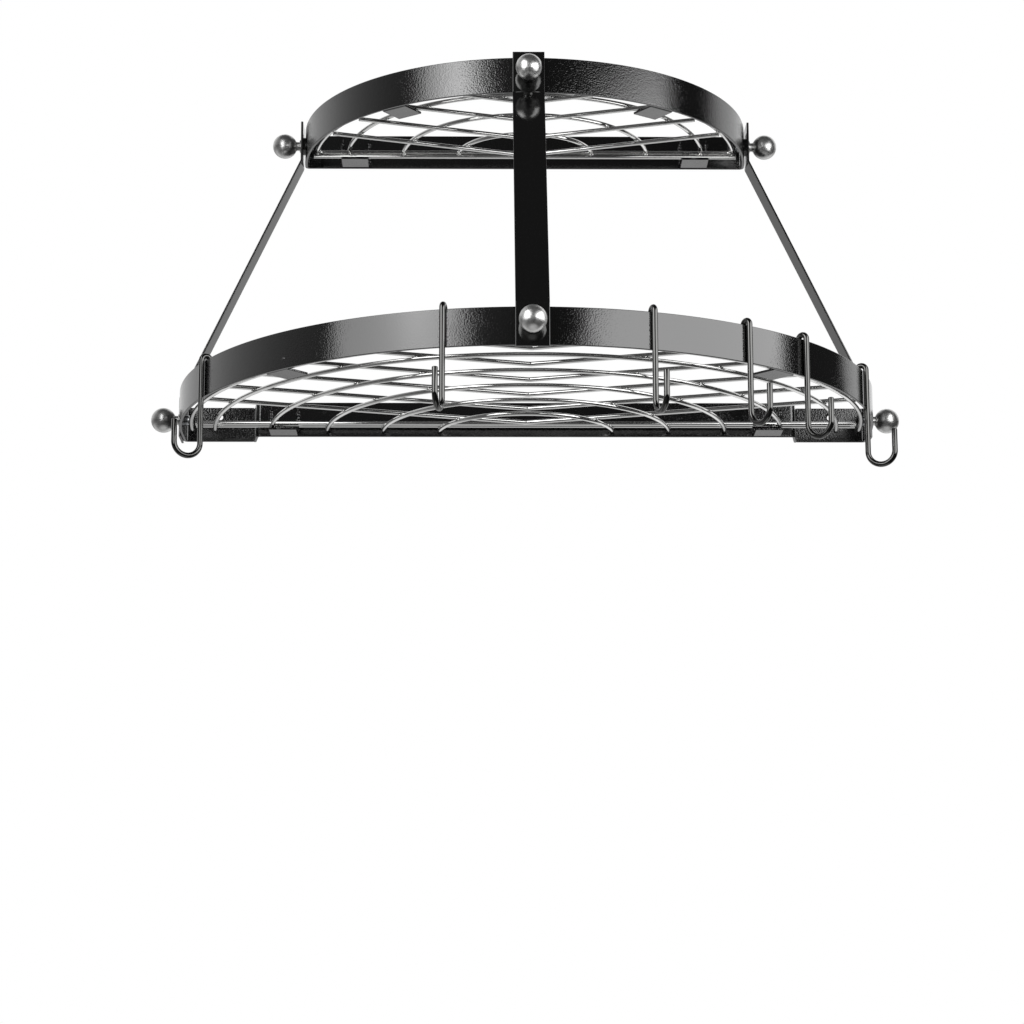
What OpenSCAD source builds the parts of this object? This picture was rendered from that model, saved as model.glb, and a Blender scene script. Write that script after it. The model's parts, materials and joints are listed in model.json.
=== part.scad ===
// Wall rack: two half-round shelves of bent flat bar, carried by the wall at the back
// and tied together by three bent straps. Each shelf holds a loose grid of welded wire
// on eight welded L-clips, and six S-hooks hang on the rim of the lower shelf.
// The wall is the plane Y = 0, the room lies on the -Y side, X runs to the right, Z up.
// The origin lies on the wall, midway between the two wall screw holes.

/* [Shelf bands] */
// Height of the flat bar that the shelves are bent from
band_h = 31; // [26:0.5:40]
// Thickness of the flat bar
band_t = 2.5; // [2:0.1:3.5]
// Outer radius of the lower half-round band
lower_r = 305; // [290:1:340]
// Straight length of the lower band between the wall and its half round
lower_straight = 27; // [24:1:50]
// Outer radius of the upper half-round band
upper_r = 200; // [185:1:230]
// Rise from the lower band's top edge to the upper band's top edge
shelf_rise = 256; // [200:1:320]
// Outer radius of the bends where the bands meet the wall
corner_r = 4; // [3.6:0.2:8]
// Length of the upper band's turned-in ends along the wall
upper_tab = 14; // [10:1:24]

/* [Wall fixing] */
// Length of the lower band's turned-in ends along the wall
wall_tab = 62; // [48:1:80]
// Distance of each wall screw hole from the side of the lower band
wall_hole_inset = 32; // [24:1:38]
// Height of the lower band's top edge above the wall screw holes
wall_hole_drop = 8.5; // [6:0.5:16]
// Bore of the wall screw holes
wall_hole_d = 5; // [4:0.1:6]
// Width of the countersink at the face of the band
countersink_d = 8; // [7:0.1:10]
// Depth of the countersink
countersink_depth = 1.5; // [1:0.1:1.8]

/* [Lower back bar] */
// Distance of the back bar's front face from the wall
joggle_depth = 22; // [16:0.5:24]
// Distance that each leg of the back bar leans inwards on its way forward
joggle_lean = 4; // [2:0.5:8]
// Inner radius of the bends in the back bar
joggle_bend_r = 2; // [1:0.5:4]

/* [Straps] */
// Width of the straps
strap_w = 27; // [20:0.5:30]
// Thickness of the straps
strap_t = 2; // [1.6:0.1:3]
// Inner radius of the bends in the straps
strap_bend_r = 3; // [2:0.5:8]
// Height of the straps' ends above the upper band
strap_over = 4.5; // [2:0.5:8]
// Distance of the upper bend below the upper band
strap_bend_below = 1; // [0:0.5:6]
// Distance of the lower bend above the lower band
strap_bend_above = 3; // [1:0.5:8]
// Distance that the straps reach below the lower band
strap_under = 1.5; // [0.5:0.5:6]
// Distance of the side straps' rear edge from the wall
side_strap_gap = 1.5; // [0.5:0.5:6]
// Thickness of the saddle washers at their thinnest, between upper band and side straps
saddle_t = 0.8; // [0.6:0.1:2]
// Diameter of the saddle washers
saddle_d = 16; // [12:0.5:20]

/* [Knobs and screws] */
// Diameter of the ball knobs
knob_d = 22; // [16:0.5:24]
// Distance of the ball's centre from the strap
knob_reach = 15; // [13:0.5:18]
// Diameter of the knob's neck
neck_d = 8; // [7:0.5:10]
// Diameter of the collar at the foot of the neck
collar_d = 11.6; // [9:0.2:14]
// Thickness of the collar
collar_t = 1.6; // [1:0.1:2.4]
// Depth of the knobs' axes below the top edge of the band
knob_drop = 14.75; // [12:0.25:17]
// Diameter of the machine screws
screw_d = 5; // [4:0.5:6]
// Diameter of the screw heads
head_d = 9.5; // [8:0.5:12]
// Height of the screw heads
head_h = 3.2; // [2:0.1:3.6]
// Width of the slots of the cross recess
recess_w = 1.1; // [0.8:0.1:1.6]
// Depth of the cross recess
recess_depth = 1.8; // [1:0.1:2]
// Length of screw that enters the knob
screw_grip = 9; // [7:0.5:12]
// Outer diameter of the lock washers
lock_d = 9.2; // [8:0.2:12]
// Thickness of the lock washers
lock_t = 1.2; // [0.8:0.1:1.6]
// Radial gap between the screw and the holes in band, strap and washers
hole_gap = 0.25; // [0.15:0.05:0.5]
// Radial gap between the screw and the thread of the knob
thread_gap = 0.05; // [0.02:0.01:0.1]

/* [Clips] */
// Width of the L-clips
clip_w = 24; // [18:0.5:30]
// Thickness of the L-clips
clip_t = 2; // [1.5:0.1:2.5]
// Height of a clip's leg, from the underside of its ledge
clip_leg = 27; // [20:0.5:29]
// Depth of a clip's ledge, from the band
clip_ledge = 25; // [22:0.5:30]
// Inner radius of the bend in a clip
clip_bend_r = 1; // [0.5:0.25:2]
// Height of a clip's underside above the band's bottom edge
clip_lift = 0.2; // [0.2:0.1:2]
// Radius of the weld beads along the clip's legs
bead_r = 2.4; // [1.5:0.1:3]
// Length of a weld bead left off at each end of the leg
bead_inset = 3; // [1:0.5:6]
// Angle of the upper shelf's front clips from straight ahead
upper_clip_angle = 36; // [30:0.5:45]
// Angle of the lower shelf's front clips from straight ahead
lower_clip_angle = 43; // [41:0.5:44]
// Distance of the upper shelf's back clips from the ends of its back bar
upper_clip_inset = 32; // [26:1:66]
// Distance of the lower shelf's back clips from the bends of its back bar
lower_clip_inset = 25; // [23:1:59]

/* [Wire grids] */
// Diameter of the grid wire
wire_d = 3.8; // [3.2:0.1:4.2]
// Distance from the band's inside to the middle of the rim wire
rim_inset = 8; // [8:0.5:12]
// Height of a grid above the ledges that it rests on
seat_gap = 0.3; // [0.2:0.05:0.5]
// Depth to which crossing wires are welded into each other
weld_bite = 0.1; // [0.05:0.05:0.3]
// Distance of the arcs' centre from the wall
arc_centre = 12; // [8:0.5:16]
// Step from one arc of wire to the next
arc_pitch = 49.25; // [40:0.25:60]
// Radius of the upper grid's smallest arc
upper_arc_first = 61; // [40:1:80]
// Radius of the lower grid's smallest arc
lower_arc_first = 78; // [50:1:90]
// Least distance between the largest arc and the rim wire
arc_margin = 15; // [10:1:25]
// Distance of the upper grid's back wires from the wall
upper_back_wire = 22.5; // [22:0.5:27]
// Bend radius of the upper rim wire at the back corners
rim_bend_r = 5; // [4:0.5:10]
// Gap in the butt joint between the upper rim wire and the bent ends of its back wire
butt_gap = 0.05; // [0.02:0.01:0.2]
// Distance that the upper grid's lower back wire reaches past the rim
back_wire_over = 3; // [1:0.5:5]
// Gap between the end of an upper arc and the back wire
arc_end_gap = 0.2; // [0.1:0.05:0.5]
// Distance of the lower grid's arc ends from the wall
lower_arc_end = 25; // [24.5:0.25:28]
// Distance of the lower grid's first back wire from the wall
lower_back_wire = 30; // [28:0.5:32]
// Distance between the lower grid's two back wires
back_wire_pitch = 8; // [5:0.5:9]
// Distance between the lower back wires' ends and the middle of the rim wire
back_wire_short = 3; // [2:0.5:8]
// Distance from the nearest back wire to the first chevron's point
chevron_start = 4.5; // [4.2:0.1:10]
// Step from one chevron of the upper grid to the next
upper_chevron_pitch = 45.5; // [36:0.5:60]
// Step from one chevron of the lower grid to the next
lower_chevron_pitch = 50; // [40:0.5:60]
// Angle of the upper grid's chevron arms to the wall
upper_chevron_angle = 18.5; // [12:0.5:24]
// Angle of the lower grid's chevron arms to the wall
lower_chevron_angle = 17; // [12:0.5:22]
// Least distance between a chevron's point and the rim wire in front of it
chevron_margin = 20; // [14:1:27]
// Distance that the chevron arms reach past the middle of the rim wire
arm_over = 0.5; // [0.5:0.1:1.3]

/* [S-hooks] */
// Diameter of the hook wire
hook_d = 4.8; // [3:0.1:5.2]
// Gap between a hook and each face of the band
hook_gap = 0.3; // [0.25:0.05:0.6]
// Length of the hook's inner leg below the band's top edge
hook_inner = 12; // [8:0.5:13]
// Radius of the middle line of the hook's lower bend
hook_bend_r = 11.5; // [9:0.5:16]
// Depth of the lower bend's centre below the band's top edge
hook_drop = 71.5; // [60:0.5:90]
// Height of the hook's tip above the lower bend's centre
hook_tip = 18.5; // [8:0.5:24]
// Angles of the six hooks from straight ahead, left to right
hook_angles = [-62.75, -13.25, 18.2, 34.5, 46.9, 68.8];

/* [Hidden] */

// Facets of the thinnest round cut, of the large bends, of the small bends and of the wires
fine_fn = 720;
big_fn = 180;
small_fn = 48;
wire_fn = 24;
// Overshoot of a cutter past the face that it cuts
cut = 1;
// Share of a bend's radius that the wedge around it reaches past
wedge_reach = 2;
// Addition to both radii of a bend, so that its rounds cross the flats and leave no sliver
bend_relief = 0.01;

paint = [0.10, 0.10, 0.11];
chrome = [0.74, 0.75, 0.77];
pewter = [0.56, 0.56, 0.58];
dark_steel = [0.18, 0.18, 0.20];

// Heights of the two bands
lower_top = wall_hole_drop;
lower_bottom = lower_top - band_h;
upper_top = lower_top + shelf_rise;
upper_bottom = upper_top - band_h;
lower_knob_z = lower_top - knob_drop;
upper_knob_z = upper_top - knob_drop;

// Plan sizes
wall_hole_x = lower_r - wall_hole_inset;
bar_wall_x = lower_r - wall_tab;
bar_front_x = bar_wall_x - joggle_lean;
lower_crown = lower_straight + lower_r;
side_strap_y = -side_strap_gap - strap_w / 2;
upper_bar_x = upper_r - upper_tab;
upper_back_clip_x = upper_bar_x - upper_clip_inset;
lower_back_clip_x = bar_front_x - lower_clip_inset;

// Heights of the wire layers above the bottom edge of a band
layer_1 = clip_lift + clip_t + seat_gap + wire_d / 2;
layer_2 = layer_1 + wire_d - weld_bite;
upper_rim_r = upper_r - band_t - rim_inset;
lower_rim_r = lower_r - band_t - rim_inset;
upper_arc_end = upper_back_wire + wire_d / 2 + arc_end_gap;

// Holes that the knob screws pass through, and the seat of their washers
bolt_hole_d = screw_d + 2 * hole_gap;
lock_r = lock_d / 2;

function unit(v) = v / norm(v);
function turn(a, b, c) = acos(min(1, unit(b - a) * unit(c - b)));

// Distance that a flat washer of radius w stands off the inside of a round of radius r
function sagitta(r, w) = r - sqrt(r * r - w * w);

// Closed half-round plan against the wall, with rounded back corners
module half_round_plan(r, straight, corner) {
    short = max(0, corner - straight);
    corner_x = sqrt(pow(r - corner, 2) - short * short);
    corner_cut = corner * (1 + short / (r - corner));
    difference() {
        union() {
            translate([0, -straight])
                circle(r, $fn = big_fn);
            if (straight > 0)
                translate([-r, -straight])
                    square([2 * r, straight]);
        }
        translate([-r - cut, 0])
            square([2 * (r + cut), r + cut]);
        for (s = [0, 1])
            mirror([s, 0])
                difference() {
                    translate([corner_x, -corner_cut])
                        square([r - corner_x + cut, corner_cut + cut]);
                    translate([corner_x, -corner])
                        circle(corner, $fn = small_fn);
                }
    }
}

// Ring of flat bar on that plan, closed along the wall
module band_plan(r, straight) {
    difference() {
        half_round_plan(r, straight, corner_r);
        translate([0, -band_t])
            half_round_plan(r - band_t, straight - band_t, corner_r - band_t);
    }
}

// Point on one edge of a flat bar that follows a path; side is 1 left or -1 right
function edge_point(path, i, side, t) =
    let (last = len(path) - 1,
        u = unit(path[max(i, 1)] - path[max(i, 1) - 1]),
        v = unit(path[min(i, last - 1) + 1] - path[min(i, last - 1)]),
        across = unit([-u.y - v.y, u.x + v.x]))
        path[i] + side * t / 2 / sqrt((1 + u * v) / 2) * across;

// Flat bar of width w along +Z, bent along a path of corner points in plan
module bent_strip(path, t, bend_r, w) {
    last = len(path) - 1;
    rc = bend_r + t / 2;
    difference() {
        union() {
            linear_extrude(w)
                polygon(concat([for (i = [0 : last]) edge_point(path, i, 1, t)],
                    [for (i = [last : -1 : 0]) edge_point(path, i, -1, t)]));
            for (i = [1 : last - 1])
                linear_extrude(w)
                    bend_wedge(path[i - 1], path[i], path[i + 1], rc, 1);
        }
        for (i = [1 : last - 1]) {
            centre = bend_centre(path[i - 1], path[i], path[i + 1], rc);
            translate([centre.x, centre.y, -cut])
                cylinder(r = bend_r + bend_relief, h = w + 2 * cut, $fn = small_fn);
            difference() {
                translate([0, 0, -cut])
                    linear_extrude(w + 2 * cut)
                        bend_wedge(path[i - 1], path[i], path[i + 1], rc, wedge_reach);
                translate([centre.x, centre.y, -2 * cut])
                    cylinder(r = rc + t / 2 + bend_relief, h = w + 4 * cut, $fn = small_fn);
            }
        }
    }
}

// Centre of the bend at b, for a middle line of radius rc
function bend_centre(a, b, c, rc) =
    b + unit(unit(a - b) + unit(c - b)) * rc / cos(turn(a, b, c) / 2);

// Wedge from a bend's centre through both ends of the bend, reaching to its corner
module bend_wedge(a, b, c, rc, reach) {
    centre = bend_centre(a, b, c, rc);
    back = rc * tan(turn(a, b, c) / 2);
    from = b + unit(a - b) * back;
    to = b + unit(c - b) * back;
    polygon([centre, centre + reach * (from - centre),
        centre + reach * (b - centre), centre + reach * (to - centre)]);
}

// X of the back bar's outer face at a distance y from the wall plane
function bar_face_x(y) = bar_wall_x + y * joggle_lean / joggle_depth;

// Stands a child, drawn with its screw axis along +Z, on the strap face of a knob:
// side -1 left, 0 front, 1 right; upper 1 or lower 0 shelf
module at_knob(side, upper) {
    r = upper == 1 ? upper_r : lower_r;
    z = upper == 1 ? upper_knob_z : lower_knob_z;
    crown = upper == 1 ? upper_r : lower_crown;
    reach = side == 0 ? crown + strap_t : r + strap_t + upper * saddle_t;
    translate(side == 0 ? [0, -reach, z] : [side * reach, side_strap_y, z])
        rotate(side == 0 ? [90, 0, 0] : [0, side * 90, 0])
            children();
}

// Depth from the strap's outer face to the seat of the lock washer inside the band
function seat_depth(side, upper) =
    side == 0 ? strap_t + band_t + sagitta((upper == 1 ? upper_r : lower_r) - band_t, lock_r)
    : upper == 0 ? strap_t + band_t
    : strap_t + saddle_t + band_t + sagitta(upper_r - band_t, lock_r - side_strap_y);

// Holes for the knob screws through one band and what lies on it
module knob_holes(upper) {
    for (side = [-1, 0, 1])
        at_knob(side, upper)
            translate([0, 0, -seat_depth(side, upper) - cut])
                cylinder(d = bolt_hole_d, h = seat_depth(side, upper) + 2 * cut, $fn = small_fn);
}

module wall_hole() {
    rotate([90, 0, 0]) {
        translate([0, 0, -cut])
            cylinder(d = wall_hole_d, h = band_t + 2 * cut, $fn = small_fn);
        translate([0, 0, band_t - countersink_depth])
            cylinder(d1 = wall_hole_d, d2 = countersink_d, h = countersink_depth, $fn = small_fn);
        translate([0, 0, band_t])
            cylinder(d = countersink_d, h = cut, $fn = small_fn);
    }
}

// Lower rim: half round, straight ends and two tabs turned in along the wall
module lower_band() {
    color(paint)
        difference() {
            translate([0, 0, lower_bottom])
                linear_extrude(band_h)
                    difference() {
                        band_plan(lower_r, lower_straight);
                        polygon([[-bar_face_x(cut), cut], [bar_face_x(cut), cut],
                            [bar_face_x(-band_t - cut), -band_t - cut],
                            [-bar_face_x(-band_t - cut), -band_t - cut]]);
                    }
            knob_holes(0);
            for (s = [-1, 1])
                translate([s * wall_hole_x, 0, 0])
                    wall_hole();
        }
}

// Middle bar behind the lower grid, set forward of the wall on two leaning legs
module lower_back_bar() {
    lean = atan(joggle_lean / joggle_depth);
    half_leg = band_t / 2 / cos(lean);
    wall_x = bar_face_x(cut) - half_leg;
    front_y = -joggle_depth + band_t / 2;
    front_x = bar_face_x(front_y) - half_leg;
    color(paint)
        translate([0, 0, lower_bottom])
            difference() {
                bent_strip([[-wall_x, cut], [-front_x, front_y],
                    [front_x, front_y], [wall_x, cut]], band_t, joggle_bend_r, band_h);
                translate([-bar_wall_x - cut, 0, -cut])
                    cube([2 * (bar_wall_x + cut), 2 * cut, band_h + 2 * cut]);
            }
}

// Upper rim: half round with short ends turned in along the wall
module upper_band() {
    color(paint)
        difference() {
            translate([0, 0, upper_bottom])
                linear_extrude(band_h)
                    difference() {
                        band_plan(upper_r, 0);
                        translate([-upper_bar_x, -band_t - cut])
                            square([2 * upper_bar_x, band_t + 2 * cut]);
                    }
            knob_holes(1);
        }
}

// Straight bar that closes the upper rim, flat on the wall
module upper_back_bar() {
    color(paint)
        translate([-upper_bar_x, -band_t, upper_bottom])
            cube([2 * upper_bar_x, band_t, band_h]);
}

// Path of a strap's middle line, from its lower to its upper end
function strap_path(low, high) = [
    [low, lower_bottom - strap_under], [low, lower_top + strap_bend_above],
    [high, upper_bottom - strap_bend_below], [high, upper_top + strap_over]];

module front_strap() {
    path = strap_path(-lower_crown - strap_t / 2, -upper_r - strap_t / 2);
    color(paint)
        difference() {
            translate([-strap_w / 2, 0, 0])
                rotate([90, 0, 90])
                    bent_strip(path, strap_t, strap_bend_r, strap_w);
            knob_holes(0);
            knob_holes(1);
        }
}

module side_strap(side) {
    path = strap_path(side * (lower_r + strap_t / 2), side * (upper_r + saddle_t + strap_t / 2));
    color(paint)
        difference() {
            translate([0, -side_strap_gap, 0])
                rotate([90, 0, 0])
                    bent_strip(path, strap_t, strap_bend_r, strap_w);
            knob_holes(0);
            knob_holes(1);
        }
}

module left_strap() {
    side_strap(-1);
}

module right_strap() {
    side_strap(1);
}

// L-clip with its two weld beads: the leg's back lies on X = 0, the ledge points to -X,
// and the band's bottom edge is at Z = 0. face_r is the band's inner radius, 0 if flat
module clip(face_r) {
    seat = face_r == 0 ? 0 : sqrt(face_r * face_r - clip_w * clip_w / 4);
    ledge_z = clip_lift + clip_t / 2;
    color(paint) {
        translate([0, clip_w / 2, 0])
            rotate([90, 0, 0])
                bent_strip([[-clip_t / 2, clip_lift + clip_leg], [-clip_t / 2, ledge_z],
                    [-clip_ledge, ledge_z]], clip_t, clip_bend_r, clip_w);
        translate([0, 0, clip_lift + bead_inset])
            linear_extrude(clip_leg - 2 * bead_inset)
                for (s = [-1, 1])
                    difference() {
                        translate([0, s * clip_w / 2])
                            circle(bead_r, $fn = small_fn);
                        if (face_r == 0)
                            translate([0, -clip_w])
                                square([clip_w, 2 * clip_w]);
                        else
                            translate([-seat, 0])
                                difference() {
                                    circle(face_r + clip_w, $fn = big_fn);
                                    circle(face_r, $fn = big_fn);
                                }
                        translate([-bead_r - cut, -clip_w / 2])
                            square([bead_r + 2 * cut, clip_w]);
                    }
    }
}

// Clip on the curved front of a shelf, at an angle from straight ahead
module front_clip(r, straight, bottom, angle) {
    face_r = r - band_t;
    translate([0, -straight, bottom])
        rotate(angle - 90)
            translate([sqrt(face_r * face_r - clip_w * clip_w / 4), 0, 0])
                clip(face_r);
}

// Clip on the straight back of a shelf
module back_clip(x, face_y, bottom) {
    translate([x, face_y, bottom])
        rotate(90)
            clip(0);
}

module upper_front_clip(side) {
    front_clip(upper_r, 0, upper_bottom, side * upper_clip_angle);
}

module lower_front_clip(side) {
    front_clip(lower_r, lower_straight, lower_bottom, side * lower_clip_angle);
}

module upper_back_clip(side) {
    back_clip(side * upper_back_clip_x, -band_t, upper_bottom);
}

module lower_back_clip(side) {
    back_clip(side * lower_back_clip_x, -joggle_depth, lower_bottom);
}

// Turned ball knob with neck, collar and a blind tapped hole, its foot at Z = 0
module knob() {
    color(pewter)
        difference() {
            union() {
                cylinder(d = collar_d, h = collar_t, $fn = small_fn);
                cylinder(d = neck_d, h = knob_reach, $fn = small_fn);
                translate([0, 0, knob_reach])
                    sphere(d = knob_d, $fn = small_fn * 2);
            }
            translate([0, 0, -cut])
                cylinder(d = screw_d + 2 * thread_gap, h = screw_grip + 2 * cut, $fn = small_fn);
        }
}

// Pan-head machine screw; its head bears on Z = 0 and its shank runs to +Z
module knob_screw(length) {
    dome = head_h / 2;
    color(dark_steel) {
        cylinder(d = screw_d, h = length, $fn = small_fn);
        difference() {
            union() {
                translate([0, 0, -head_h + dome])
                    cylinder(d = head_d, h = head_h - dome, $fn = small_fn);
                translate([0, 0, -head_h])
                    cylinder(d1 = head_d - 2 * dome, d2 = head_d, h = dome, $fn = small_fn);
            }
            for (turned = [0, 90])
                rotate(turned)
                    translate([-screw_d / 2, -recess_w / 2, -head_h - cut])
                        cube([screw_d, recess_w, recess_depth + cut]);
        }
    }
}

module knob_screws() {
    for (side = [-1, 0, 1], upper = [0, 1]) {
        under_head = seat_depth(side, upper) + lock_t;
        at_knob(side, upper)
            translate([0, 0, -under_head])
                knob_screw(under_head + screw_grip);
    }
}

module lock_washers() {
    color(dark_steel)
        for (side = [-1, 0, 1], upper = [0, 1])
            at_knob(side, upper)
                translate([0, 0, -seat_depth(side, upper) - lock_t])
                    difference() {
                        cylinder(d = lock_d, h = lock_t, $fn = small_fn);
                        translate([0, 0, -cut])
                            cylinder(d = bolt_hole_d, h = lock_t + 2 * cut, $fn = small_fn);
                    }
}

// Washers with one hollowed face that fill the gap between upper band and side straps
module saddle_washers() {
    depth = saddle_t + sagitta(upper_r, saddle_d / 2 - side_strap_y) + cut;
    color(paint)
        for (side = [-1, 1])
            difference() {
                at_knob(side, 1)
                    translate([0, 0, -strap_t - depth])
                        difference() {
                            cylinder(d = saddle_d, h = depth, $fn = small_fn);
                            translate([0, 0, -cut])
                                cylinder(d = bolt_hole_d, h = depth + 2 * cut, $fn = small_fn);
                        }
                translate([0, 0, upper_bottom])
                    cylinder(r = upper_r, h = band_h, $fn = fine_fn);
            }
}

// Wire bent to an arc about the Z axis, from one angle to another, straight ahead being -90
module wire_arc(r, from, to) {
    rotate(from)
        rotate_extrude(angle = to - from, $fn = big_fn)
            translate([r, 0])
                circle(d = wire_d, $fn = wire_fn);
}

// Straight wire between two points of one layer
module wire_line(a, b) {
    translate([a.x, a.y, 0])
        rotate([0, 90, atan2(b.y - a.y, b.x - a.x)])
            cylinder(d = wire_d, h = norm(b - a), $fn = wire_fn);
}

// Concentric arcs of a grid, each cut off square at one distance from the wall
module grid_arcs(first, rim_r, wall_end) {
    for (r = [first : arc_pitch : rim_r - arc_margin]) {
        half = acos((wall_end - arc_centre) / (r - wire_d / 2));
        translate([0, -arc_centre, 0])
            wire_arc(r, -90 - half, -90 + half);
    }
}

// Half the length of a chevron's arm, in X, from its point to the rim wire
function arm_reach(point, angle, rim_r, rim_y) =
    let (m = tan(angle), d = point - rim_y, r = rim_r + arm_over)
        (-m * d + sqrt(m * m * d * d - (1 + m * m) * (d * d - r * r))) / (1 + m * m);

// One chevron, its mitred point towards the wall and its arms on the rim wire
module chevron(point, angle, rim_r, rim_y) {
    arm = arm_reach(point, angle, rim_r, rim_y) / cos(angle);
    translate([0, -point, 0])
        for (s = [0, 1])
            mirror([s, 0, 0])
                difference() {
                    rotate([0, 90, -angle])
                        translate([0, 0, -wire_d])
                            cylinder(d = wire_d, h = arm + wire_d, $fn = wire_fn);
                    translate([-2 * wire_d, -2 * wire_d, -wire_d])
                        cube([2 * wire_d, 4 * wire_d, 2 * wire_d]);
                }
}

// Chevrons of a grid, from the first point to the one nearest the front of the rim
module grid_chevrons(first, pitch, angle, rim_r, rim_y) {
    for (point = [first : pitch : rim_y + rim_r - chevron_margin])
        chevron(point, angle, rim_r, rim_y);
}

// Upper rim wire, butted on a back wire whose ends are bent round to meet it
module upper_rim_wire() {
    centre_y = upper_back_wire + rim_bend_r;
    centre_x = sqrt(pow(upper_rim_r - rim_bend_r, 2) - centre_y * centre_y);
    side_angle = atan2(centre_y, centre_x);
    butt = asin(butt_gap / upper_rim_r);
    wire_arc(upper_rim_r, -180 + side_angle + butt, -side_angle - butt);
    for (s = [0, 1])
        mirror([s, 0, 0])
            translate([centre_x, -centre_y, 0]) {
                mirror([1, -1, 0])
                    wire_arc(rim_bend_r, 0, 90 + side_angle);
                translate([0, rim_bend_r, 0])
                    rotate([0, -90, 0])
                        cylinder(d = wire_d, h = centre_x, $fn = wire_fn);
            }
}

module upper_grid_arcs() {
    color(chrome)
        translate([0, 0, upper_bottom + layer_2]) {
            upper_rim_wire();
            grid_arcs(upper_arc_first, upper_rim_r, upper_arc_end);
        }
}

module upper_grid_chevrons() {
    reach = sqrt(upper_rim_r * upper_rim_r - upper_back_wire * upper_back_wire) + back_wire_over;
    color(chrome)
        translate([0, 0, upper_bottom + layer_1]) {
            wire_line([-reach, -upper_back_wire], [reach, -upper_back_wire]);
            grid_chevrons(upper_back_wire + chevron_start, upper_chevron_pitch,
                upper_chevron_angle, upper_rim_r, 0);
        }
}

module lower_grid_arcs() {
    half = acos((lower_arc_end - lower_straight) / lower_rim_r);
    color(chrome)
        translate([0, 0, lower_bottom + layer_1]) {
            translate([0, -lower_straight, 0])
                wire_arc(lower_rim_r, -90 - half, -90 + half);
            grid_arcs(lower_arc_first, lower_rim_r, lower_arc_end);
        }
}

module lower_grid_chevrons() {
    color(chrome)
        translate([0, 0, lower_bottom + layer_2]) {
            for (y = [lower_back_wire, lower_back_wire + back_wire_pitch]) {
                rim_x = sqrt(lower_rim_r * lower_rim_r - pow(y - lower_straight, 2));
                wire_line([back_wire_short - rim_x, -y], [rim_x - back_wire_short, -y]);
            }
            grid_chevrons(lower_back_wire + back_wire_pitch + chevron_start,
                lower_chevron_pitch, lower_chevron_angle, lower_rim_r, lower_straight);
        }
}

// Bend of hook wire in the hook's own plane, its middle at the origin
module hook_bend(r, from, to) {
    rotate([90, 0, 0])
        rotate(from)
            rotate_extrude(angle = to - from, $fn = small_fn * 2)
                translate([r, 0])
                    circle(d = hook_d, $fn = wire_fn);
}

module hook_leg(x, from, to) {
    translate([x, 0, from])
        cylinder(d = hook_d, h = to - from, $fn = wire_fn);
}

// S-hook hung over the lower band at an angle from straight ahead
module s_hook(angle) {
    loop_r = band_t / 2 + hook_gap + hook_d / 2;
    loop_x = lower_r - band_t / 2;
    outer_x = loop_x + loop_r;
    bend_z = lower_top - hook_drop;
    color(dark_steel)
        translate([0, -lower_straight, 0])
            rotate(angle - 90) {
                hook_leg(loop_x - loop_r, lower_top - hook_inner, lower_top);
                translate([loop_x, 0, lower_top])
                    hook_bend(loop_r, 0, 180);
                hook_leg(outer_x, bend_z, lower_top);
                translate([outer_x + hook_bend_r, 0, bend_z])
                    hook_bend(hook_bend_r, 180, 360);
                hook_leg(outer_x + 2 * hook_bend_r, bend_z, bend_z + hook_tip);
            }
}

lower_band();
lower_back_bar();
upper_band();
upper_back_bar();
front_strap();
left_strap();
right_strap();
upper_front_clip(-1);  // upper_front_clip_left
upper_front_clip(1);  // upper_front_clip_right
upper_back_clip(-1);  // upper_back_clip_left
upper_back_clip(1);  // upper_back_clip_right
lower_front_clip(-1);  // lower_front_clip_left
lower_front_clip(1);  // lower_front_clip_right
lower_back_clip(-1);  // lower_back_clip_left
lower_back_clip(1);  // lower_back_clip_right
at_knob(0, 1) knob();  // knob_upper_front
at_knob(-1, 1) knob();  // knob_upper_left
at_knob(1, 1) knob();  // knob_upper_right
at_knob(0, 0) knob();  // knob_lower_front
at_knob(-1, 0) knob();  // knob_lower_left
at_knob(1, 0) knob();  // knob_lower_right
knob_screws();
lock_washers();
saddle_washers();
upper_grid_arcs();
upper_grid_chevrons();
lower_grid_arcs();
lower_grid_chevrons();
s_hook(hook_angles[0]);  // s_hook_1
s_hook(hook_angles[1]);  // s_hook_2
s_hook(hook_angles[2]);  // s_hook_3
s_hook(hook_angles[3]);  // s_hook_4
s_hook(hook_angles[4]);  // s_hook_5
s_hook(hook_angles[5]);  // s_hook_6
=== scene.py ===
"""Looks of a half-round wall rack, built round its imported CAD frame.

Every piece is drawn in millimetres in the frame's own axes: the wall is the plane Y = 0, the
room lies on the -Y side, X runs to the right and Z up. It is scaled to metres when it is done.
"""

from __future__ import annotations

import json
import logging
import math
from dataclasses import dataclass
from enum import Enum

import bmesh
import bpy
from bmesh.types import BMEdge, BMesh, BMVert
from bpy.types import Material, Node, NodeSocket, NodeTree, Object
from mathutils import Matrix, Vector, noise

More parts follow.
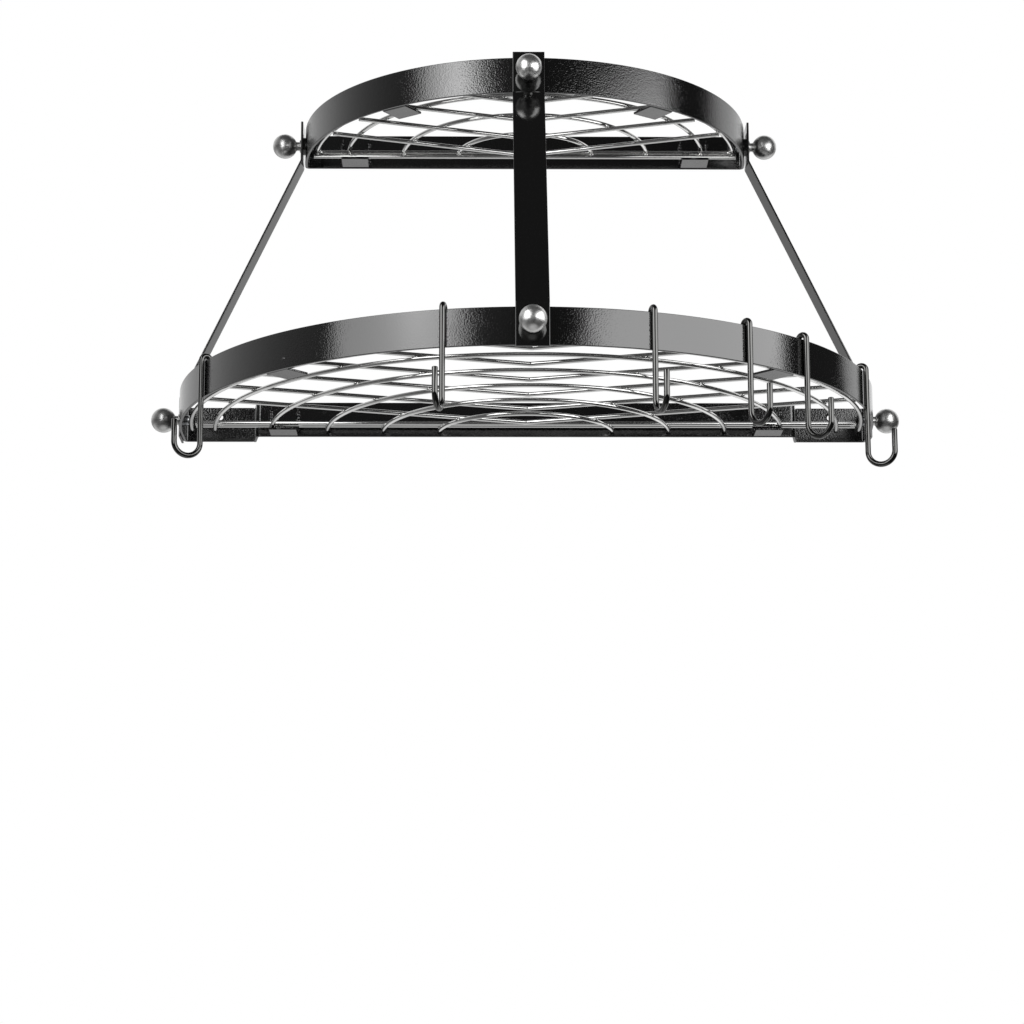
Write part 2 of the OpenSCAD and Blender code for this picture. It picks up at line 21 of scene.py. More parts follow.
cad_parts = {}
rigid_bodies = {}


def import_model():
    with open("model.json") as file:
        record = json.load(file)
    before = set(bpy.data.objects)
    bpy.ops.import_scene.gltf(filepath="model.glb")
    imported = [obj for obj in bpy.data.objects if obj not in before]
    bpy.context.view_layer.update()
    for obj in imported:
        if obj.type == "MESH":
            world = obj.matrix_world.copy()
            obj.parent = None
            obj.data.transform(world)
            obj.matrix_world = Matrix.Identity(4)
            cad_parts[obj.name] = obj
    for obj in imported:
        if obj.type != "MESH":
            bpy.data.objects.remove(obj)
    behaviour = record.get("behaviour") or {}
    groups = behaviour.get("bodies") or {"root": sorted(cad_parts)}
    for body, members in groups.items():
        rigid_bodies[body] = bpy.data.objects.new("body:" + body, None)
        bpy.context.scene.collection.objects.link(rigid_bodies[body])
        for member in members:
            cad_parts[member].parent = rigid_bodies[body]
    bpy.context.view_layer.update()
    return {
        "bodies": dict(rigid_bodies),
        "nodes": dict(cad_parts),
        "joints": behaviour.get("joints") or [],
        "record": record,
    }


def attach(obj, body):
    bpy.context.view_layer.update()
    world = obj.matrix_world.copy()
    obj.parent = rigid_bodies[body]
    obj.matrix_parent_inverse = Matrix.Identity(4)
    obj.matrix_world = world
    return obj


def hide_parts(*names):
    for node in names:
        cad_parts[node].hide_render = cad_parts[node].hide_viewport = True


LOG = logging.getLogger("wall_rack")
MM = 0.001
RIGHT = Vector((1.0, 0.0, 0.0))
AHEAD = Vector((0.0, 1.0, 0.0))
UP = Vector((0.0, 0.0, 1.0))


class Side(Enum):
    """Where a strap and its knobs stand on the rack."""

    LEFT = -1
    FRONT = 0
    RIGHT = 1


class Slot(Enum):
    """The record's material slots."""

    PAINT = "black_paint"
    WIRE = "chrome_wire"
    PEWTER = "pewter"
    HOOK = "dark_chrome"
    SCREW = "zinc_steel"


# Colour and shader helpers


def linear(code: str) -> tuple[float, float, float, float]:
    """Turns an sRGB hex colour into linear light.

    Args:
        code: The colour, such as "#0b0b0c".

    Returns:
        Linear red, green, blue and an alpha of one.
    """
    parts = [int(code[i : i + 2], 16) / 255.0 for i in (1, 3, 5)]
    red, green, blue = (c / 12.92 if c <= 0.04045 else ((c + 0.055) / 1.055) ** 2.4 for c in parts)
    return red, green, blue, 1.0


def add_node(
    tree: NodeTree,
    kind: str,
    settings: dict[str, object] | None = None,
    inputs: dict[str | int, object] | None = None,
) -> Node:
    """Adds a node to a tree, sets it up and links it.

    Args:
        tree: The tree that gets the node.
        kind: The node's type name.
        settings: Its properties.
        inputs: A value, or the socket that feeds it, for each input by name or number.

    Returns:
        The new node.
    """
    node = tree.nodes.new(kind)
    for name, value in (settings or {}).items():
        setattr(node, name, value)
    for name, value in (inputs or {}).items():
        if isinstance(value, NodeSocket):
            tree.links.new(value, node.inputs[name])
        else:
            node.inputs[name].default_value = value
    return node


def new_tree(name: str) -> tuple[Material, NodeTree]:
    """Makes an empty node material.

    Args:
        name: The material's name.

    Returns:
        The material and its cleared node tree.
    """
    material = bpy.data.materials.new(name)
    material.use_nodes = True
    material.node_tree.nodes.clear()
    return material, material.node_tree


# Finishes


@dataclass(frozen=True)
class StovedEnamel:
    """Black gloss enamel, sprayed on flat bar and stoved.

    It looks deep black with sharp pale reflections, which the fine orange peel of a sprayed coat
    breaks up into specks, and with a few grains of dust under it.
    """

    name: str = "black stoved enamel"
    colour: str = "#060606"
    gloss: float = 0.02
    haze: float = 0.035
    peel_mm: float = 1.1
    peel_low: float = 0.08
    peel_high: float = 0.62
    patch_mm: float = 40.0
    dust_mm: float = 10.0

    def build(self) -> Material:
        """Builds the material."""
        material, tree = new_tree(self.name)
        place = add_node(tree, "ShaderNodeTexCoord").outputs["Object"]
        peel = add_node(
            tree,
            "ShaderNodeTexNoise",
            inputs={"Vector": place, "Scale": 1 / (self.peel_mm * MM), "Detail": 2.0, "Roughness": 0.45},
        ).outputs[0]
        patch = add_node(
            tree,
            "ShaderNodeTexNoise",
            inputs={"Vector": place, "Scale": 1 / (self.patch_mm * MM), "Detail": 1.0},
        ).outputs[0]
        depth = add_node(
            tree,
            "ShaderNodeMapRange",
            inputs={"Value": patch, "To Min": self.peel_low, "To Max": self.peel_high},
        ).outputs[0]
        first = add_node(
            tree, "ShaderNodeBump", inputs={"Strength": depth, "Distance": 0.0003, "Height": peel}
        ).outputs[0]
        dust = add_node(
            tree, "ShaderNodeTexVoronoi", inputs={"Vector": place, "Scale": 1 / (self.dust_mm * MM)}
        ).outputs["Distance"]
        grain = add_node(
            tree,
            "ShaderNodeMapRange",
            inputs={"Value": dust, "From Min": 0.0, "From Max": 0.06, "To Min": 1.0, "To Max": 0.0},
        ).outputs[0]
        second = add_node(
            tree,
            "ShaderNodeBump",
            inputs={"Strength": 0.3, "Distance": 0.0002, "Height": grain, "Normal": first},
        ).outputs[0]
        sheen = add_node(
            tree, "ShaderNodeMapRange", inputs={"Value": patch, "To Min": self.gloss, "To Max": self.haze}
        ).outputs[0]
        shader = add_node(
            tree,
            "ShaderNodeBsdfPrincipled",
            inputs={"Base Color": linear(self.colour), "Roughness": sheen, "IOR": 1.85, "Normal": second},
        )
        add_node(tree, "ShaderNodeOutputMaterial", inputs={"Surface": shader.outputs[0]})
        return material


@dataclass(frozen=True)
class PlatedMetal:
    """Metal finish with fine drawing, casting or turning marks.

    The marks and the cloudy roughness give the eye a plated wire's sharp white and black streaks
    or a turned knob's soft glow, as the roughness says.
    """

    name: str
    colour: str
    smooth: float
    rough: float
    mark_mm: float
    mark_depth: float
    cloud_mm: float = 16.0

    def build(self) -> Material:
        """Builds the material."""
        material, tree = new_tree(self.name)
        place = add_node(tree, "ShaderNodeTexCoord").outputs["Object"]
        marks = add_node(
            tree,
            "ShaderNodeTexNoise",
            inputs={"Vector": place, "Scale": 1 / (self.mark_mm * MM), "Detail": 3.0, "Roughness": 0.6},
        ).outputs[0]
        bump = add_node(
            tree, "ShaderNodeBump", inputs={"Strength": self.mark_depth, "Distance": 0.0001, "Height": marks}
        ).outputs[0]
        cloud = add_node(
            tree,
            "ShaderNodeTexNoise",
            inputs={"Vector": place, "Scale": 1 / (self.cloud_mm * MM), "Detail": 2.0},
        ).outputs[0]
        haze = add_node(
            tree, "ShaderNodeMapRange", inputs={"Value": cloud, "To Min": self.smooth, "To Max": self.rough}
        ).outputs[0]
        shader = add_node(
            tree,
            "ShaderNodeBsdfPrincipled",
            inputs={"Base Color": linear(self.colour), "Metallic": 1.0, "Roughness": haze, "Normal": bump},
        )
        add_node(tree, "ShaderNodeOutputMaterial", inputs={"Surface": shader.outputs[0]})
        return material


# A thin coat, which has flowed out nearly flat: the straps mirror the knobs almost whole
THIN_ENAMEL = StovedEnamel("thin black stoved enamel", peel_low=0.02, peel_high=0.10)
# A heavy coat with deep, coarse peel: its pale reflections are full of bright grains
HEAVY_ENAMEL = StovedEnamel("heavy black stoved enamel", peel_mm=1.3, peel_low=0.5, peel_high=0.9)
# Bright nickel-chrome on drawn steel wire: mirror-like, with white and black streaks
BRIGHT_CHROME = PlatedMetal("bright chrome-plated steel wire", "#dededd", 0.03, 0.07, 0.9, 0.10)
# Black nickel on bent steel wire: a dark mirror with one thin pale streak
BLACK_NICKEL = PlatedMetal("black nickel-plated steel wire", "#5a5a59", 0.02, 0.05, 0.6, 0.05)
# Die-cast zinc with a bright pewter plating: a grey mirror, slightly cloudy, with soft-edged lights
BRIGHT_PEWTER = PlatedMetal("pewter-plated zinc casting", "#cfcfce", 0.22, 0.42, 1.2, 1.0, 3.0)
# Bright zinc on machine screws and washers: pale and slightly cloudy
ZINC_STEEL = PlatedMetal("zinc-plated steel", "#b4b6b8", 0.22, 0.36, 0.3, 0.2)


class Paints:
    """The finishes of the rack, each built once."""

    def __init__(self) -> None:
        """Builds one material for each slot."""
        self.by_slot = {
            Slot.PAINT: StovedEnamel().build(),
            Slot.WIRE: BRIGHT_CHROME.build(),
            Slot.PEWTER: BRIGHT_PEWTER.build(),
            Slot.HOOK: BLACK_NICKEL.build(),
            Slot.SCREW: ZINC_STEEL.build(),
        }
        self.coats: dict[StovedEnamel, Material] = {}

    def dress(self, piece: Object, slot: Slot) -> None:
        """Gives a piece or a CAD node the one finish of its slot."""
        piece.data.materials.clear()
        piece.data.materials.append(self.by_slot[slot])

    def coat(self, piece: Object, enamel: StovedEnamel) -> None:
        """Gives a painted piece a coat of its own in place of the usual one.

        Args:
            piece: The piece.
            enamel: The coat.
        """
        if enamel not in self.coats:
            self.coats[enamel] = enamel.build()
        piece.data.materials[0] = self.coats[enamel]


# Bar and wire stock


@dataclass(frozen=True)
class FlatStock:
    """Flat bar, with the small round that rolling leaves along its edges."""

    width: float
    thickness: float
    edge_r: float = 0.6

    def outline(self, bm: BMesh) -> list[BMVert]:
        """Draws the section across X = thickness and Y = width.

        Args:
            bm: The mesh that gets it.

        Returns:
            The section's corners.
        """
        verts = bmesh.ops.create_grid(bm, x_segments=1, y_segments=1, size=0.5)["verts"]
        bmesh.ops.scale(bm, vec=(self.thickness, self.width, 1.0), verts=verts)
        bmesh.ops.bevel(
            bm, geom=verts, offset=self.edge_r, segments=3, profile=0.5, affect="VERTICES", material=-1
        )
        return list(bm.verts)


@dataclass(frozen=True)
class RoundStock:
    """Round wire."""

    diameter: float
    facets: int = 16

    def outline(self, bm: BMesh) -> list[BMVert]:
        """Draws the section across X and Y and returns its corners."""
        radius = self.diameter / 2
        return bmesh.ops.create_circle(bm, cap_ends=True, segments=self.facets, radius=radius)["verts"]


class Bender:
    """A length of stock that is fed forward and bent, step by step, as a wire bender does it."""

    def __init__(self, stock: FlatStock | RoundStock, start: Vector, heading: Vector, axis: Vector) -> None:
        """Cuts the stock square at its first end.

        Args:
            stock: The section.
            start: The middle of the first end.
            heading: The way the stock is fed.
            axis: The axis of its bends, which the width of flat stock lies along.
        """
        self.bm = bmesh.new()
        self.place = start.copy()
        self.heading = heading.normalized()
        self.axis = axis.normalized()
        self.stock = stock
        stock.outline(self.bm)
        across = self.axis.cross(self.heading)
        turn = Matrix((across, self.axis, self.heading)).transposed().to_4x4()
        bmesh.ops.transform(self.bm, matrix=Matrix.Translation(start) @ turn, verts=list(self.bm.verts))
        self.caps = list(self.bm.faces)
        self.ring = list(self.bm.edges)

    def feed(self, length: float) -> Bender:
        """Feeds a straight length.

        Args:
            length: The length in mm.

        Returns:
            The bender itself.
        """
        grown = bmesh.ops.extrude_edge_only(self.bm, edges=self.ring)["geom"]
        fresh = dict.fromkeys(v for v in grown if isinstance(v, BMVert))
        bmesh.ops.translate(self.bm, verts=list(fresh), vec=self.heading * length)
        ring = (e for v in fresh for e in v.link_edges if e.other_vert(v) in fresh)
        self.ring = list(dict.fromkeys(ring))
        self.place += self.heading * length
        return self

    def bend(self, angle: float, radius: float, step: float = 8.0) -> Bender:
        """Bends the stock about the axis.

        Args:
            angle: The turn in degrees, by the right-hand rule about the axis.
            radius: The radius of the middle line.
            step: The turn of one facet in degrees.

        Returns:
            The bender itself.
        """
        centre = self.place + self.axis.cross(self.heading) * math.copysign(radius, angle)
        count = max(2, math.ceil(abs(angle) / step))
        verts = list(dict.fromkeys(v for e in self.ring for v in e.verts))
        spun = bmesh.ops.spin(
            self.bm,
            geom=verts + self.ring,
            cent=centre,
            axis=self.axis,
            angle=math.radians(angle),
            steps=count,
            use_duplicate=False,
        )
        self.ring = [e for e in spun["geom_last"] if isinstance(e, BMEdge)]
        turn = Matrix.Rotation(math.radians(angle), 3, self.axis)
        self.place = centre + turn @ (self.place - centre)
        self.heading = turn @ self.heading
        return self

    def follow(self, path: list[Vector], radius: float) -> Bender:
        """Follows a path of corner points, each rounded to one radius.

        Args:
            path: The middle line's corners, the first of them where the stock starts.
            radius: The radius of the middle line in the bends.

        Returns:
            The bender itself.
        """
        spent = 0.0
        for here, corner, beyond in zip(path, path[1:], path[2:]):
            first, second = (corner - here).normalized(), (beyond - corner).normalized()
            angle = math.degrees(math.atan2(self.axis.dot(first.cross(second)), first.dot(second)))
            back = radius * math.tan(math.radians(abs(angle)) / 2)
            self.feed((corner - here).length - spent - back)
            self.bend(angle, radius)
            spent = back
        return self.feed((path[-1] - path[-2]).length - spent)

    def cut(self, ease: float = 0.3) -> BMesh:
        """Cuts the stock square at its second end and eases the edges of both ends.

        Args:
            ease: The width of the eased edge in mm.

        Returns:
            The finished mesh in mm.
        """
        made = bmesh.ops.contextual_create(self.bm, geom=self.ring)["faces"]
        rims = list(dict.fromkeys(e for face in self.caps + made for e in face.edges))
        bmesh.ops.bevel(self.bm, geom=rims, offset=ease, segments=2, profile=0.5, affect="EDGES", material=-1)
        return self.bm

    def close(self) -> BMesh:
        """Welds the second end to the first, as on a closed ring of wire.

        Returns:
            The finished mesh in mm.
        """
        bmesh.ops.delete(self.bm, geom=self.caps, context="FACES_ONLY")
        bmesh.ops.remove_doubles(self.bm, verts=list(self.bm.verts), dist=0.2)
        return self.bm


def lathe(profile: list[tuple[float, float]], rounds: dict[int, float], facets: int = 64) -> BMesh:
    """Turns a profile about the Z axis.

    Args:
        profile: Radius and height of each corner, from one end to the other.
        rounds: The width of the round at a corner, by its number.
        facets: The number of facets round the axis.

    Returns:
        The turned mesh in mm.
    """
    bm = bmesh.new()
    verts = [bm.verts.new((radius, 0.0, height)) for radius, height in profile]
    for first, second in zip(verts, verts[1:]):
        bm.edges.new((first, second))
    for number, width in rounds.items():
        bmesh.ops.bevel(
            bm, geom=[verts[number]], offset=width, segments=4, profile=0.5, affect="VERTICES", material=-1
        )
    bmesh.ops.spin(
        bm,
        geom=list(bm.verts) + list(bm.edges),
        cent=(0, 0, 0),
        axis=UP,
        angle=math.tau,
        steps=facets,
        use_merge=True,
        use_duplicate=False,
    )
    bmesh.ops.remove_doubles(bm, verts=list(bm.verts), dist=0.001)
    bmesh.ops.recalc_face_normals(bm, faces=list(bm.faces))
    return bm


def gather(parts: list[BMesh]) -> BMesh:
    """Puts several meshes into one.

    Args:
        parts: The meshes, which are used up.

    Returns:
        One mesh with all of them.
    """
    whole = bmesh.new()
    for part in parts:
        bmesh.ops.recalc_face_normals(part, faces=list(part.faces))
        carrier = bpy.data.meshes.new("carrier")
        part.to_mesh(carrier)
        part.free()
        whole.from_mesh(carrier)
        bpy.data.meshes.remove(carrier)
    return whole


def moved(bm: BMesh, matrix: Matrix) -> BMesh:
    """Moves a whole mesh and hands it back."""
    bmesh.ops.transform(bm, matrix=matrix, verts=list(bm.verts))
    return bm


def to_object(bm: BMesh, name: str, crease: float = 40.0) -> Object:
    """Turns a finished mesh in mm into an object in metres.

    Args:
        bm: The mesh, which is used up.
        name: The object's name.
        crease: The angle in degrees past which an edge stays sharp.

    Returns:
        The object, at the origin.
    """
    bmesh.ops.recalc_face_normals(bm, faces=list(bm.faces))
    bmesh.ops.scale(bm, vec=(MM, MM, MM), verts=list(bm.verts))
    mesh = bpy.data.meshes.new(name)
    bm.to_mesh(mesh)
    bm.free()
    mesh.shade_smooth()
    mesh.set_sharp_from_angle(angle=math.radians(crease))
    piece = bpy.data.objects.new(name, mesh)
    bpy.context.scene.collection.objects.link(piece)
    return piece


def bake_modifiers(piece: Object) -> None:
    """Applies a piece's modifiers to its mesh.

    Args:
        piece: The piece.
    """
    graph = bpy.context.evaluated_depsgraph_get()
    mesh = bpy.data.meshes.new_from_object(piece.evaluated_get(graph))
    old = piece.data
    piece.modifiers.clear()
    piece.data = mesh
    bpy.data.meshes.remove(old)


def punch(piece: Object, cutters: list[BMesh], merge: bool = False) -> None:
    """Cuts shapes out of a piece.

    Args:
        piece: The piece.
        cutters: The shapes in mm, which are used up.
        merge: Whether solids of the piece or of the cutters cross each other.
    """
    cutter = to_object(gather(cutters), "cutter")
    modifier = piece.modifiers.new("punch", "BOOLEAN")
    modifier.object = cutter
    modifier.solver = "EXACT"
    modifier.use_self = merge
    bake_modifiers(piece)
    bpy.data.objects.remove(cutter)


def even_normals(piece: Object) -> None:
    """Keeps the flats of a piece flat between its rounded edges.

    Args:
        piece: The piece.
    """
    modifier = piece.modifiers.new("even normals", "WEIGHTED_NORMAL")
    modifier.keep_sharp = True
    modifier.weight = 80


# Sizes shared by the sub-assemblies


@dataclass(frozen=True)
class Shelf:
    """Sizes of one half-round shelf in mm."""

    name: str
    radius: float
    straight: float
    top: float
    height: float = 31.0
    thickness: float = 2.5
    corner: float = 4.0

    @property
    def bottom(self) -> float:
        """Height of the band's bottom edge."""
        return self.top - self.height

    @property
    def middle(self) -> float:
        """Height of the band's middle."""
        return self.top - self.height / 2

    @property
    def crown(self) -> float:
        """Distance of the band's front from the wall."""
        return self.straight + self.radius

    @property
    def knob_height(self) -> float:
        """Height of the axes of its knobs."""
        return self.top - 14.75


LOWER = Shelf("lower", 305.0, 27.0, 8.5)
UPPER = Shelf("upper", 200.0, 0.0, 264.5)
TAB_INNER_X = {LOWER.name: 242.8, UPPER.name: 186.0}
STRAP_T = 2.0
STRAP_W = 27.0
SADDLE_T = 0.8
SIDE_STRAP_Y = -15.0
LOCK_R = 4.6
JOGGLE_DEPTH = 22.0


def knob_place(side: Side, shelf: Shelf) -> Matrix:
    """Finds where a knob stands.

    Args:
        side: The strap that carries it.
        shelf: The shelf that it holds.

    Returns:
        The place on the strap's outer face, with Z along the knob's axis.
    """
    if side is Side.FRONT:
        spot = Vector((0.0, -shelf.crown - STRAP_T, shelf.knob_height))
        return Matrix.Translation(spot) @ Matrix.Rotation(math.radians(90), 4, "X")
    out = shelf.radius + STRAP_T + (SADDLE_T if shelf is UPPER else 0.0)
    spot = Vector((side.value * out, SIDE_STRAP_Y, shelf.knob_height))
    return Matrix.Translation(spot) @ Matrix.Rotation(math.radians(90 * side.value), 4, "Y")


def seat_depth(side: Side, shelf: Shelf) -> float:
    """Finds how deep inside the band a knob's lock washer is seated.

    Args:
        side: The strap that the knob stands on.
        shelf: The shelf that it holds.

    Returns:
        The depth from the strap's outer face in mm.
    """
    inner = shelf.radius - shelf.thickness
    stack = STRAP_T + shelf.thickness
    if side is Side.FRONT:
        return stack + inner - math.sqrt(inner**2 - LOCK_R**2)
    if shelf is LOWER:
        return stack
    return stack + SADDLE_T + inner - math.sqrt(inner**2 - (LOCK_R - SIDE_STRAP_Y) ** 2)


class Workshop:
    """Hands out finishes, hangs each finished piece on its body and hides the CAD nodes that it stands for.
    """

    def __init__(self, frame: dict) -> None:
        self.nodes = frame["nodes"]
        self.paints = Paints()

    def enter(self, piece: Object, slot: Slot, body: str, *nodes: str) -> Object:
        """Dresses a piece and lets it stand for its CAD nodes.

        Args:
            piece: The piece.
            slot: Its finish.
            body: The body that it rides on.
            nodes: The CAD nodes that it stands for.

        Returns:
            The same piece.
        """
        self.paints.dress(piece, slot)
        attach(piece, body)
        if nodes:
            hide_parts(*nodes)
        LOG.info("%s: %d faces on %s", piece.name, len(piece.data.polygons), body)
        return piece

    def keep(self, node: str, slot: Slot) -> None:
        """Dresses a CAD node whose own shape is right."""
        self.paints.dress(self.nodes[node], slot)
        LOG.info("%s: kept from the CAD", node)


# Sub-assemblies


@dataclass
class Bands:
    """The two half-round bands and the bars that close them at the back."""

    shop: Workshop
    hole_x: float = 273.0
    hole_d: float = 5.0
    sink_d: float = 8.0
    sink_depth: float = 1.5
    joggle_lean: float = 4.0
    joggle_r: float = 3.25

    def rim(self, shelf: Shelf) -> BMesh:
        """Bends one band from flat bar, from its left tab round to its right tab.

        Args:
            shelf: The shelf's sizes.

        Returns:
            The band in mm.
        """
        half = shelf.thickness / 2
        inset = shelf.radius - shelf.corner
        short = max(0.0, shelf.corner - shelf.straight)
        lean = math.degrees(math.asin(short / inset))
        corner_x = math.sqrt(inset**2 - short**2)
        tab = corner_x - TAB_INNER_X[shelf.name]
        run = max(0.0, shelf.straight - shelf.corner)
        start = Vector((-TAB_INNER_X[shelf.name], -half, shelf.middle))
        bar = Bender(FlatStock(shelf.height, shelf.thickness), start, -RIGHT, UP)
        bar.feed(tab).bend(90 + lean, shelf.corner - half)
        if run > 0:
            bar.feed(run)
        bar.bend(180 - 2 * lean, shelf.radius - half, 1.5)
        if run > 0:
            bar.feed(run)
        bar.bend(90 + lean, shelf.corner - half).feed(tab)
        return bar.cut()

    def wall_holes(self, band: Object) -> None:
        """Drills and countersinks the wall screw holes of the lower band.

        Args:
            band: The lower band.
        """
        deep = LOWER.thickness + 1
        hole_r, sink_r = self.hole_d / 2, self.sink_d / 2
        floor = LOWER.thickness - self.sink_depth
        mouth = [(sink_r, LOWER.thickness), (sink_r + 0.5, deep), (0, deep)]
        profile = [(0, -1), (hole_r, -1), (hole_r, floor), *mouth]
        parts = []
        for side in (-1, 1):
            place = Matrix.Translation((side * self.hole_x, 0, 0)) @ Matrix.Rotation(math.radians(90), 4, "X")
            parts.append(moved(lathe(profile, {3: 0.3, 2: 0.2}, 48), place))
        punch(band, parts)

    def back_bar(self) -> BMesh:
        """Bends the lower back bar, set forward of the wall on two leaning legs.

        Returns:
            The bar in mm.
        """
        half = LOWER.thickness / 2
        wall_x = TAB_INNER_X[LOWER.name] + 0.2 - half
        front_y = -JOGGLE_DEPTH + half
        front_x = wall_x + front_y * self.joggle_lean / JOGGLE_DEPTH
        path = [
            Vector((-wall_x, 1.0, LOWER.middle)),
            Vector((-front_x, front_y, LOWER.middle)),
            Vector((front_x, front_y, LOWER.middle)),
            Vector((wall_x, 1.0, LOWER.middle)),
        ]
        stock = FlatStock(LOWER.height, LOWER.thickness)
        bar = Bender(stock, path[0], path[1] - path[0], UP).follow(path, self.joggle_r).cut()
        solid = list(bar.verts) + list(bar.edges) + list(bar.faces)
        sawn = bmesh.ops.bisect_plane(bar, geom=solid, plane_co=(0, 0, 0), plane_no=AHEAD, clear_outer=True)
        rims = [e for e in sawn["geom_cut"] if isinstance(e, BMEdge)]
        bmesh.ops.holes_fill(bar, edges=rims)
        return bar

    def upper_bar(self) -> BMesh:
        """Cuts the straight bar behind the upper shelf.

        Returns:
            The bar in mm.
        """
        reach = TAB_INNER_X[UPPER.name]
        start = Vector((-reach, -UPPER.thickness / 2, UPPER.middle))
        bar = Bender(FlatStock(UPPER.height, UPPER.thickness), start, RIGHT, UP)
        return bar.feed(2 * reach).cut()

    def build(self) -> None:
        """Builds both bands and both bars."""
        lower = to_object(self.rim(LOWER), "lower_rim_bar")
        self.wall_holes(lower)
        made = [
            (lower, "lower_band"),
            (to_object(self.rim(UPPER), "upper_rim_bar"), "upper_band"),
            (to_object(self.back_bar(), "lower_joggled_bar"), "lower_back_bar"),
            (to_object(self.upper_bar(), "upper_straight_bar"), "upper_back_bar"),
        ]
        for piece, node in made:
            even_normals(piece)
            self.shop.enter(piece, Slot.PAINT, "rack", node)
            if node == "upper_band":
                self.shop.paints.coat(piece, HEAVY_ENAMEL)


@dataclass
class Straps:
    """The three bent straps that carry the upper shelf."""

    shop: Workshop
    over: float = 4.5
    bend_below: float = 1.0
    bend_above: float = 3.0
    under: float = 1.5
    bend_r: float = 4.0
    edge_r: float = 0.5

    def strap(self, side: Side) -> BMesh:
        """Bends one strap, from its lower to its upper end.

        Args:
            side: Where it stands.

        Returns:
            The strap in mm.
        """
        if side is Side.FRONT:
            out, base, axis = -AHEAD, Vector((0.0, 0.0, 0.0)), RIGHT
            low, high = LOWER.crown + STRAP_T / 2, UPPER.crown + STRAP_T / 2
        else:
            out, base, axis = RIGHT * side.value, AHEAD * SIDE_STRAP_Y, AHEAD
            low, high = LOWER.radius + STRAP_T / 2, UPPER.radius + SADDLE_T + STRAP_T / 2
        path = [
            base + out * low + UP * (LOWER.bottom - self.under),
            base + out * low + UP * (LOWER.top + self.bend_above),
            base + out * high + UP * (UPPER.bottom - self.bend_below),
            base + out * high + UP * (UPPER.top + self.over),
        ]
        bar = Bender(FlatStock(STRAP_W, STRAP_T, self.edge_r), path[0], UP, axis)
        return bar.follow(path, self.bend_r).cut()

    def build(self) -> None:
        """Builds the three straps."""
        for side in Side:
            name = side.name.lower()
            piece = to_object(self.strap(side), f"{name}_bent_strap")
            even_normals(piece)
            self.shop.enter(piece, Slot.PAINT, "rack", f"{name}_strap")
            self.shop.paints.coat(piece, THIN_ENAMEL)


